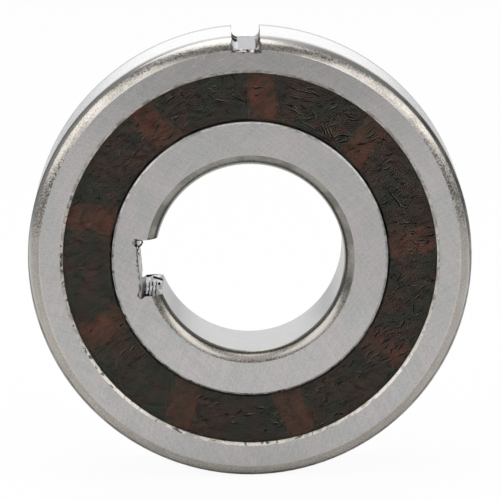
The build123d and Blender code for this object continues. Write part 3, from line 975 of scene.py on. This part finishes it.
@dataclass
class SealFilm:
    """Thin creased film snapped into the outer ring on one side."""

    side: Side
    bore: float = 14.76
    rim: float = 19.99
    middle: float = 6.35
    thickness: float = 0.08
    rings: int = 46
    spokes: int = 760
    creases: int = 46
    relief_limit: float = 0.055
    waves: tuple[tuple[int, float, float], ...] = ((7, 0.006, 1.0), (19, 0.006, 1.7), (43, 0.004, 2.9))
    seed: int = 3

    def relief(self, radius: np.ndarray, angle: np.ndarray) -> np.ndarray:
        """Height of the creases and waves.

        Args:
            radius: radii in millimetres.
            angle: angles in radians.

        Returns:
            Heights in millimetres.
        """
        draw = np.random.default_rng(self.seed + self.side.value)
        height = np.zeros_like(radius)
        for waves, swell, reach in self.waves:
            phase, lean = draw.uniform(0, math.tau), draw.uniform(-0.4, 0.4)
            height += swell * np.sin(waves * angle + lean * radius * reach + phase)
        for _ in range(self.creases):
            at, spot = draw.uniform(0, math.tau), draw.uniform(self.bore + 0.5, self.rim - 0.7)
            lean, length = draw.uniform(0, math.pi), draw.uniform(0.5, 2.2)
            width, bend = draw.uniform(0.06, 0.16), draw.uniform(-0.12, 0.12)
            fold = draw.uniform(0.02, 0.05) * draw.choice((-1.0, 1.0))
            across = spot * ((angle - at + math.pi) % math.tau - math.pi)
            outward = radius - spot
            run = across * math.cos(lean) + outward * math.sin(lean)
            step = outward * math.cos(lean) - across * math.sin(lean) - bend * run**2
            fade = np.exp(-((run / length) ** 4))
            height += fold * fade * (1 + step / width) * np.exp(-((step / width) ** 2))
        return np.clip(height, -self.relief_limit, self.relief_limit)

    def build(self) -> bpy.types.Object:
        """Builds the film's mesh, a closed skin of two layers.

        Returns:
            The film.
        """
        spread = np.linspace(0.0, 1.0, self.rings)
        angles = np.arange(self.spokes) * math.tau / self.spokes
        spread, angle = np.meshgrid(spread, angles, indexing="ij")
        ragged = 0.03 * np.sin(23 * angle + 1.0) * np.sin(7 * angle) + 0.02 * np.sin(61 * angle)
        radius = self.bore + np.abs(ragged) * (1 - spread) + (self.rim - self.bore) * spread
        height = self.relief(radius, angle)
        layers = []
        for layer in (1, -1):
            level = self.side.value * (self.middle + height + layer * self.thickness / 2)
            layers.append(around(radius, level, angle).reshape(-1, 3) * MM)
        count = self.rings * self.spokes
        faces = []
        for quad in tube_faces(self.rings, self.spokes):
            top = quad if self.side is Side.FRONT else quad[::-1]
            faces += [top, tuple(count + n for n in top[::-1])]
        for edge, flip in ((0, False), ((self.rings - 1) * self.spokes, True)):
            for j in range(self.spokes):
                a, b = edge + j, edge + (j + 1) % self.spokes
                wall = (a, b, count + b, count + a)
                faces.append(wall if flip == (self.side is Side.REAR) else wall[::-1])
        name = f"{self.side.name.lower()}_seal_film"
        film = mesh_piece(name, np.concatenate(layers), faces)
        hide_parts(f"{self.side.name.lower()}_seal_washer")
        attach(film, "outer_ring")
        log.info("%s built", name)
        return film


@dataclass(frozen=True)
class CreaseField:
    """A patch of film with small wrinkles in it; angles in degrees, lengths in millimetres."""

    bearing: float
    reach: float
    lean: float
    count: int
    length: float = 0.55


@dataclass
class FilmCreases:
    """Sharp little folds that stand on the outside of a film, with painted shade on one flank and a painted highlight
    on the other.
    """

    film: SealFilm
    # Each fold is the X and Z of one point after another.
    long_folds: tuple[tuple[float, ...], ...] = (
        (3.9, 18.7, 4.4, 18.3, 4.7, 18.1, 5.6, 17.6),
        (4.8, 18.0, 5.6, 17.8, 6.3, 17.6, 7.3, 17.3),
        (8.6, 15.5, 9.0, 15.8, 9.7, 16.1),
        (9.0, 15.0, 9.6, 15.3, 10.1, 15.5),
        (5.3, 15.2, 5.6, 14.6, 5.9, 14.3, 6.4, 14.1, 7.3, 13.4),
        (14.5, 9.8, 14.9, 10.1, 15.2, 10.2),
        (14.7, 10.7, 15.4, 11.0),
        (14.4, 7.4, 14.7, 7.0),
        (14.7, 7.1, 15.3, 6.2, 15.8, 5.6, 16.0, 5.2, 16.7, 5.1),
        (16.8, 6.0, 17.2, 6.2, 17.8, 6.4),
        (16.2, 4.9, 16.8, 5.1),
        (16.1, 4.4, 16.7, 4.5),
        (16.2, 3.5, 16.8, 3.4),
        (16.8, 2.5, 17.3, 2.6, 17.8, 2.3),
        (17.2, 1.7, 17.6, 1.1),
        (17.9, 0.0, 18.2, 0.2),
        (16.8, -0.8, 17.1, -0.6),
        (-18.3, -0.7, -18.0, -0.9, -17.5, -0.7),
        (10.3, 15.2, 10.8, 14.9, 11.6, 14.6),
        (6.8, 13.4, 7.8, 12.9, 8.7, 12.4, 9.2, 11.9),
        (3.7, 16.3, 4.3, 16.3, 4.9, 16.2, 5.4, 15.6),
        (7.5, 13.9, 7.7, 13.4, 7.9, 13.0),
        (7.8, 14.1, 8.1, 13.5, 8.3, 13.0),
        (8.2, 14.1, 8.4, 13.4, 8.8, 12.7),
        (8.6, 13.8, 8.8, 13.2, 9.1, 12.8),
        (7.4, 13.3, 7.7, 12.9, 8.0, 12.8),
        (9.0, 12.4, 9.7, 12.5, 10.6, 12.4),
        (9.1, 12.8, 10.0, 13.0, 11.0, 12.8),
        (9.4, 12.1, 10.1, 12.3, 10.8, 12.4),
        (12.1, 12.9, 12.7, 13.2, 13.3, 13.7),
        (12.4, 12.5, 13.0, 12.8, 13.5, 13.2),
        (12.6, 12.1, 13.3, 12.4, 13.9, 12.7),
        (12.5, 13.8, 12.7, 14.1, 13.0, 14.2),
        (11.5, 11.9, 12.1, 12.0, 12.6, 12.1),
        (4.5, 17.2, 5.1, 17.0, 5.8, 17.0),
        (5.7, 16.6, 6.4, 16.7, 7.3, 16.5),
        (14.4, 11.0, 14.8, 10.7, 15.0, 10.8, 15.5, 11.1),
        (10.3, 14.5, 10.8, 14.6, 11.5, 14.4),
    )
    fields: tuple[CreaseField, ...] = (
        CreaseField(57.0, 10.0, 30.0, 12, 0.6),
        CreaseField(72.0, 9.0, -20.0, 12, 0.9),
        CreaseField(46.0, 7.0, 20.0, 8, 0.45),
        CreaseField(26.0, 8.0, 35.0, 16),
        CreaseField(7.0, 6.0, 15.0, 22, 0.40),
        CreaseField(-24.0, 16.0, 35.0, 36, 0.65),
        CreaseField(-34.0, 10.0, 42.0, 20, 0.9),
        CreaseField(-58.0, 14.0, 40.0, 22, 0.6),
        CreaseField(-95.0, 16.0, 15.0, 16, 0.6),
        CreaseField(94.0, 9.0, -15.0, 14, 0.7),
        CreaseField(121.0, 10.0, 35.0, 18, 0.6),
        CreaseField(150.0, 16.0, 55.0, 9),
        CreaseField(215.0, 25.0, 48.0, 9),
    )
    lift: float = 0.05
    half_widths: tuple[float, float] = (0.10, 0.17)
    spacing: float = 0.12
    waver: float = 0.018
    # Painted shade on one flank of each fold and a painted highlight on the other.
    shadow: CreaseFinish = CreaseFinish("crease_shadow", (0.0012, 0.0012, 0.0012), (0.004, 0.004, 0.0035), 0.04)
    worn: CreaseFinish = CreaseFinish("crease_edge", (0.025, 0.025, 0.019), (0.120, 0.115, 0.098), 0.20)
    seed: int = 11

    def wrinkle(self, draw: np.random.Generator, crease_field: CreaseField) -> np.ndarray:
        """Middle line of one small wrinkle.

        Args:
            draw: source of the variation.
            crease_field: where it lies.

        Returns:
            Its points in the plane of the film, as X and Z.
        """
        bearing = math.radians(crease_field.bearing + crease_field.reach * draw.uniform(-1, 1))
        spot = draw.uniform(self.film.bore + 0.45, self.film.rim - 0.45)
        lean = math.radians(crease_field.lean + draw.normal(0, 16))
        length = crease_field.length * float(np.clip(draw.lognormal(0.0, 0.5), 0.5, 2.6))
        along = np.linspace(-0.5, 0.5, 4) * length
        across = draw.normal(0, 0.05, 4)
        x = spot * math.cos(bearing) + along * math.cos(lean) - across * math.sin(lean)
        z = spot * math.sin(bearing) + along * math.sin(lean) + across * math.cos(lean)
        return np.stack([x, z], -1)

    def lines(self) -> list[np.ndarray]:
        """Middle lines of every fold of one film.

        Returns:
            The lines, each with its points evenly spread and well inside the film.
        """
        draw = np.random.default_rng(self.seed + self.film.side.value)
        mirror = (1.0 if self.film.side is Side.FRONT else -1.0, 1.0)
        rough_lines = [np.reshape(fold, (-1, 2)) * mirror for fold in self.long_folds]
        rough_lines += [self.wrinkle(draw, place) for place in self.fields for _ in range(place.count)]
        lines = []
        for rough_line in rough_lines:
            span = np.concatenate([[0.0], np.cumsum(np.hypot(*np.diff(rough_line, axis=0).T))])
            even = np.linspace(0.0, span[-1], max(5, round(span[-1] / self.spacing)))
            line = np.stack([np.interp(even, span, column) for column in rough_line.T], -1)
            line[1:-1] += draw.normal(0, self.waver, line[1:-1].shape)
            radius = np.hypot(line[:, 0], line[:, 1])
            if radius.min() > self.film.bore + 0.2 and radius.max() < self.film.rim - 0.2:
                lines.append(line)
        return lines

    def build(self) -> bpy.types.Object:
        """Builds all the creases of one film.

        Returns:
            The creases.
        """
        draw = np.random.default_rng(self.seed)
        points, faces, flanks = [], [], []
        for line in self.lines():
            slim = np.sin(np.linspace(0.25, math.pi - 0.25, len(line)))[:, None]
            width = draw.uniform(*self.half_widths) * slim
            foot = self.film.thickness / 2 - 0.01
            start, wide = len(points), len(line)
            for offset, rise in ((1.0, 0.0), (-0.25, self.lift), (-0.85, 0.0)):
                place = line + sideways(line) * width * offset
                bearing = np.arctan2(place[:, 1], place[:, 0])
                under = self.film.relief(np.hypot(place[:, 0], place[:, 1]), bearing)
                level = self.film.middle + under + foot + rise * slim[:, 0]
                points += [(x, self.film.side.value * y, z) for (x, z), y in zip(place, level)]
            for flank in (0, 1):
                for step in range(wide - 1):
                    a = start + flank * wide + step
                    quad = (a, a + 1, a + 1 + wide, a + wide)
                    faces.append(quad[::-1] if self.film.side is Side.REAR else quad)
                    flanks.append(flank)
        name = f"{self.film.side.name.lower()}_film_creases"
        creases = mesh_piece(name, np.array(points) * MM, faces)
        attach(creases, "outer_ring")
        for finish in (self.shadow, self.worn):
            creases.data.materials.append(finish.material())
        creases.data.polygons.foreach_set("material_index", flanks)
        creases.data.polygons.foreach_set("use_smooth", [False] * len(faces))
        log.info("%s built, %d faces", name, len(faces))
        return creases


@dataclass
class GarterSpring:
    """Close-wound coil bent into a ring, on one side."""

    side: Side
    major: float = 18.4
    coil: float = 0.4
    wire: float = 0.1
    level: float = 4.8
    turns: int = 480
    steps: int = 9
    facets: int = 5

    def build(self) -> bpy.types.Object:
        """Builds the coil.

        Returns:
            The spring.
        """
        count = self.turns * self.steps
        along = np.arange(count) * math.tau / count
        roll = along * self.turns
        reach = self.coil - self.wire

        def helix(a: np.ndarray, b: np.ndarray) -> np.ndarray:
            """Centre line at angle `a` round the ring and `b` round the coil."""
            return around(self.major + reach * np.cos(b), self.side.value * self.level + reach * np.sin(b), a)

        centre = helix(along, roll)
        step = 1e-4
        tangent = unit(helix(along + step, roll + step * self.turns) - centre)
        outward = unit(centre - around(self.major, self.side.value * self.level, along))
        across = np.cross(tangent, outward)
        corners = np.arange(self.facets) * math.tau / self.facets
        rims = [centre + self.wire * (math.cos(turn) * outward + math.sin(turn) * across) for turn in corners]
        points = np.stack(rims, 1).reshape(-1, 3) * MM
        name = f"{self.side.name.lower()}_garter_coil"
        spring = mesh_piece(name, points, tube_faces(count, self.facets, closed=True))
        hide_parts(f"{self.side.name.lower()}_garter_spring")
        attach(spring, "cage")
        log.info("%s built", name)
        return spring


@dataclass
class RollingSet:
    """Cage halves, balls and sprags, which turn together."""

    stations: int = 9

    def dress(self) -> None:
        """Gives every piece of the set its finish."""
        cage = CageFinish("cage_nylon").material()
        for half in ("front_cage_half", "rear_cage_half"):
            wear(node(half), cage)
        ball, sprag = BallFinish("lapped_ball").material(), SpragFinish("oiled_sprag").material()
        for station in range(1, self.stations + 1):
            wear(node(f"ball_{station}"), ball)
            wear(node(f"sprag_{station}"), sprag)
        log.info("cage, %d balls and %d sprags dressed", self.stations, self.stations)


# ---- studio ------------------------------------------------------------------------------------------
@dataclass(frozen=True)
class Lamp:
    """One softbox aimed at the clutch; its size is front to back, then across."""

    name: str
    place: Colour
    size: tuple[float, float]
    power: float

    def build(self) -> None:
        """Builds the lamp."""
        data = bpy.data.lights.new(self.name, "AREA")
        data.shape = "RECTANGLE"
        data.size, data.size_y = self.size
        data.energy = self.power
        lamp = bpy.data.objects.new(self.name, data)
        lamp.location = self.place
        lamp.rotation_mode = "QUATERNION"
        lamp.rotation_quaternion = (-Vector(self.place)).to_track_quat("-Z", "Y")
        bpy.context.scene.collection.objects.link(lamp)


@dataclass
class Studio:
    """Pale floor, soft lamps, surrounding light and the camera."""

    floor_level: float
    floor_reach: float = 40.0
    floor_white: float = 0.94
    floor_colour: Colour = (0.88, 0.88, 0.88)
    glossy_white: float = 0.10
    distance: float = 0.5474
    azimuth: float = -0.256
    elevation: float = 9.241
    roll: float = -1.122
    lens: float = 368.56
    sensor: float = 36.0
    clip: tuple[float, float] = (0.01, 100.0)
    shift: tuple[float, float] = (0.00105, -0.00289)
    lamps: tuple[Lamp, ...] = (
        Lamp("left_softbox", (-0.45, -0.27, 0.35), (0.90, 0.38), 1.90),
        Lamp("right_softbox", (0.45, -0.27, 0.37), (0.95, 0.34), 1.90),
        Lamp("top_softbox", (-0.08, 0.20, 0.70), (0.40, 0.88), 1.60),
    )

    def build_floor(self) -> None:
        """Builds the floor, which shows white and keeps the shadow."""
        edge = self.floor_reach
        corners = np.array([(-edge, -edge, 0), (edge, -edge, 0), (edge, edge, 0), (-edge, edge, 0)])
        corners[:, 2] = self.floor_level
        floor = mesh_piece("floor", corners, [(0, 1, 2, 3)])
        material = bpy.data.materials.new("floor_white")
        material.use_nodes = True
        nodes = Nodes(material.node_tree)
        shader = nodes.tree.nodes["Principled BSDF"]
        matte = {"Base Color": self.floor_colour, "Roughness": 0.9, "Specular IOR Level": 0.0}
        for name, value in matte.items():
            nodes.feed(shader.inputs[name], value)
        rays = nodes.made("LightPath", {}).node.outputs
        shown: Socket = rays["Is Camera Ray"]
        for kind, part in (("Is Transmission Ray", 1.0), ("Is Glossy Ray", self.glossy_white / self.floor_white)):
            shown = nodes.most(shown, nodes.times(rays[kind], part))
        share = nodes.times(shown, self.floor_white)
        white = nodes.made("Emission", {"Color": (1.0, 1.0, 1.0)})
        blend = nodes.made("MixShader", {0: share, 1: shader.outputs[0], 2: white})
        nodes.feed(nodes.tree.nodes["Material Output"].inputs[0], blend)
        floor.data.materials.append(material)

    def build_surroundings(self) -> None:
        """Builds the surrounding light: pale above and behind, darker at both sides."""
        world = bpy.data.worlds.new("studio")
        bpy.context.scene.world = world
        world.use_nodes = True
        nodes = Nodes(world.node_tree)
        x, y, z = nodes.split(nodes.made("TexCoord", {}, "Generated"))
        ahead = nodes.ramp(y, 0.55, 0.95, 0.0, 0.80)
        central = nodes.drop(nodes.math("ABSOLUTE", x), 0.15, 0.42)
        overhead = nodes.ramp(z, 0.35, 0.85, 0.0, 0.55)
        level = nodes.times(nodes.most(ahead, overhead), central)
        level = nodes.plus(level, nodes.ramp(y, -0.75, -0.15, 0.16, 0.38))
        background = nodes.tree.nodes["Background"].inputs
        nodes.feed(background["Strength"], nodes.most(level, nodes.made("LightPath", {}, "Is Camera Ray")))
        nodes.feed(background["Color"], (1.0, 1.0, 1.0))

    def build_camera(self) -> None:
        """Builds the camera and makes it the scene's."""
        azimuth, elevation = math.radians(self.azimuth), math.radians(self.elevation)
        back = Vector((math.sin(azimuth) * math.cos(elevation), -math.cos(azimuth) * math.cos(elevation),
                       math.sin(elevation)))
        data = bpy.data.cameras.new("camera")
        data.lens = self.lens
        data.sensor_width = self.sensor
        data.shift_x, data.shift_y = self.shift
        data.clip_start, data.clip_end = self.clip
        camera = bpy.data.objects.new("camera", data)
        camera.rotation_mode = "QUATERNION"
        turn = (-back).to_track_quat("-Z", "Y").to_matrix().to_4x4()
        turn = turn @ Matrix.Rotation(math.radians(self.roll), 4, "Z")
        camera.location = back * self.distance
        camera.rotation_quaternion = turn.to_quaternion()
        bpy.context.scene.collection.objects.link(camera)
        bpy.context.scene.camera = camera

    def build(self) -> None:
        """Builds everything that isn't part of the object."""
        self.build_camera()
        self.build_floor()
        self.build_surroundings()
        for lamp in self.lamps:
            lamp.build()
        bpy.context.scene.view_settings.view_transform = "Standard"
        log.info("studio built")


def main() -> None:
    """Builds and dresses the clutch, piece by piece."""
    logging.basicConfig(level=logging.INFO)
    Studio(floor_level=CAD_BOX[0].z).build()
    HousingRing().dress()
    ShaftRing().dress()
    film = FilmFinish("seal_film").material()
    wire = SpringFinish("spring_wire").material()
    for side in Side:
        seal = SealFilm(side)
        wear(seal.build(), film)
        FilmCreases(seal).build()
        wear(GarterSpring(side).build(), wire)
    RollingSet().dress()


if __name__ == "__main__":
    main()
